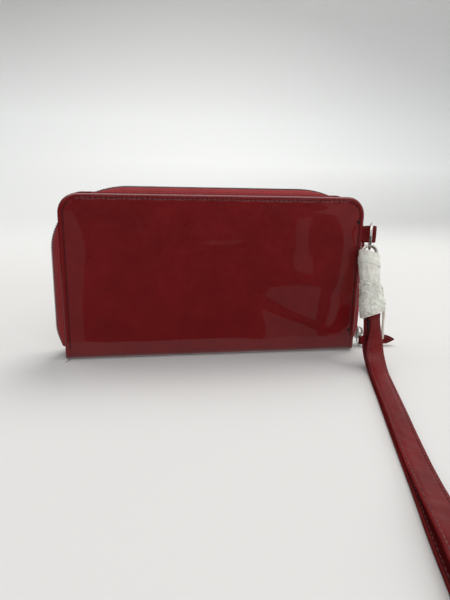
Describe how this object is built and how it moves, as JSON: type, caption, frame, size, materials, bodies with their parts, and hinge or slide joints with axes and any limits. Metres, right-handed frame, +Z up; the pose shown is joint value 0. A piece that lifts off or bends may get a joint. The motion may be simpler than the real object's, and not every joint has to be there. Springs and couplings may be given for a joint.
{
  "type": "zip around wallet",
  "caption": "Long zip-around wallet of patent leather that opens like a book, with card pockets, a zipped coin divider and a wristlet strap on a swivel clasp.",
  "frame": {"origin": "middle of the spine's flat underside, where the closed wallet stands on a surface", "axes": "+X along the wallet towards the zip slider, -Y out of the front cover, +Z up from the spine to the zip"},
  "size_m": [0.2308, 0.2407, 0.1076],
  "materials": {
    "patent_leather": "glossy patent, dark red, gently wavy",
    "strap_leather": "semi-gloss red leather, stitched edges",
    "inner_leather": "satin red leather",
    "lining_fabric": "woven lining",
    "cover_board": "uncoated board",
    "zip_tape": "woven red tape",
    "zip_metal": "dark gunmetal",
    "nickel_hardware": "polished nickel plate",
    "packing_foam": "thin translucent packing foam"
  },
  "bodies": {
    "front_half": {"outer_leather_front_and_spine": "patent_leather", "front_stiffener_board": "cover_board", "front_lining": "lining_fabric", "front_card_pocket_1": "inner_leather", "front_card_pocket_2": "inner_leather", "front_card_pocket_3": "inner_leather", "front_card_pocket_4": "inner_leather", "front_zip_tape": "zip_tape", "front_zip_teeth": "zip_metal", "zip_end_leather_left": "strap_leather", "zip_end_leather_right": "strap_leather", "zip_stop_bar": "nickel_hardware", "ring_tab": "strap_leather"},
    "back_half": {"outer_leather_back": "patent_leather", "back_stiffener_board": "cover_board", "back_lining": "lining_fabric", "back_card_pocket_1": "inner_leather", "back_card_pocket_2": "inner_leather", "back_card_pocket_3": "inner_leather", "back_card_pocket_4": "inner_leather", "back_zip_tape": "zip_tape", "back_zip_teeth": "zip_metal"},
    "coin_pocket": {"coin_pocket_front_wall": "inner_leather", "coin_pocket_back_wall": "inner_leather", "coin_pocket_gusset": "inner_leather", "coin_zip_tape_front": "zip_tape", "coin_zip_tape_back": "zip_tape", "coin_zip_chain": "zip_metal"},
    "coin_slider": {"coin_zip_slider": "nickel_hardware"},
    "coin_pull": {"coin_zip_pull": "nickel_hardware"},
    "main_slider": {"zip_slider": "nickel_hardware"},
    "pull_ring": {"zip_pull_ring": "nickel_hardware"},
    "pull_tab": {"zip_pull_leather": "strap_leather"},
    "ring": {"strap_ring": "nickel_hardware"},
    "clasp": {"clasp_hook": "nickel_hardware", "packing_roll_upper": "packing_foam"},
    "gate": {"clasp_gate": "nickel_hardware"},
    "swivel": {"clasp_swivel_eye": "nickel_hardware"},
    "strap": {"wrist_strap": "strap_leather", "packing_wrap_lower": "packing_foam"}
  },
  "joints": [
    {"name": "back_half_hinge", "type": "hinge", "parent": "front_half", "child": "back_half", "pos_m": [0, 0.0092, 0.003], "axis": [-1, 0, 0], "range_deg": [0, 90]},
    {"name": "coin_pocket_hinge", "type": "hinge", "parent": "front_half", "child": "coin_pocket", "pos_m": [0, 0, 0.0022], "axis": [-1, 0, 0], "range_deg": [0, 45]},
    {"name": "coin_zip_slide", "type": "slide", "parent": "coin_pocket", "child": "coin_slider", "axis": [1, 0, 0], "range_m": [0, 0.134]},
    {"name": "coin_pull_hinge", "type": "hinge", "parent": "coin_slider", "child": "coin_pull", "pos_m": [-0.0722, 0, 0.0835], "axis": [0, -1, 0], "range_deg": [0, 150]},
    {"name": "zip_slide", "type": "slide", "parent": "front_half", "child": "main_slider", "axis": [0, 0, 1], "range_m": [0, 0.052]},
    {"name": "pull_ring_hinge", "type": "hinge", "parent": "main_slider", "child": "pull_ring", "pos_m": [0.1046, 0, 0.0086], "axis": [0, -1, 0], "range_deg": [0, 90]},
    {"name": "pull_tab_hinge", "type": "hinge", "parent": "pull_ring", "child": "pull_tab", "pos_m": [0.1046, -0.0034, 0.0045], "axis": [0, 0, 1], "range_deg": [-15, 15]},
    {"name": "strap_ring_swing", "type": "hinge", "parent": "front_half", "child": "ring", "pos_m": [0.1013, -0.0102, 0.0798], "axis": [0, 0, 1], "range_deg": [0, 60]},
    {"name": "clasp_hang", "type": "hinge", "parent": "ring", "child": "clasp", "pos_m": [0.09797, -0.01703, 0.0712], "axis": [-0.4384, -0.8988, 0], "range_deg": [0, 45]},
    {"name": "clasp_gate_spring", "type": "hinge", "parent": "clasp", "child": "gate", "pos_m": [0.09317, -0.02262, 0.05399], "axis": [0, 0.9511, -0.309], "range_deg": [0, 20], "stiffness_Nm_per_rad": 0.001, "springref_deg": -11.46},
    {"name": "clasp_swivel", "type": "hinge", "parent": "clasp", "child": "swivel", "pos_m": [0.09797, -0.02414, 0.04933], "axis": [0, 0.309, 0.9511], "range_deg": [0, 30]},
    {"name": "strap_hinge", "type": "hinge", "parent": "swivel", "child": "strap", "pos_m": [0.09797, -0.0263, 0.04267], "axis": [-0.9981, 0.0581, -0.0189], "range_deg": [0, 70]}
  ],
  "couplings": [
    {"joint": "coin_pocket_hinge", "follows": "back_half_hinge", "ratio": 0.5}
  ]
}
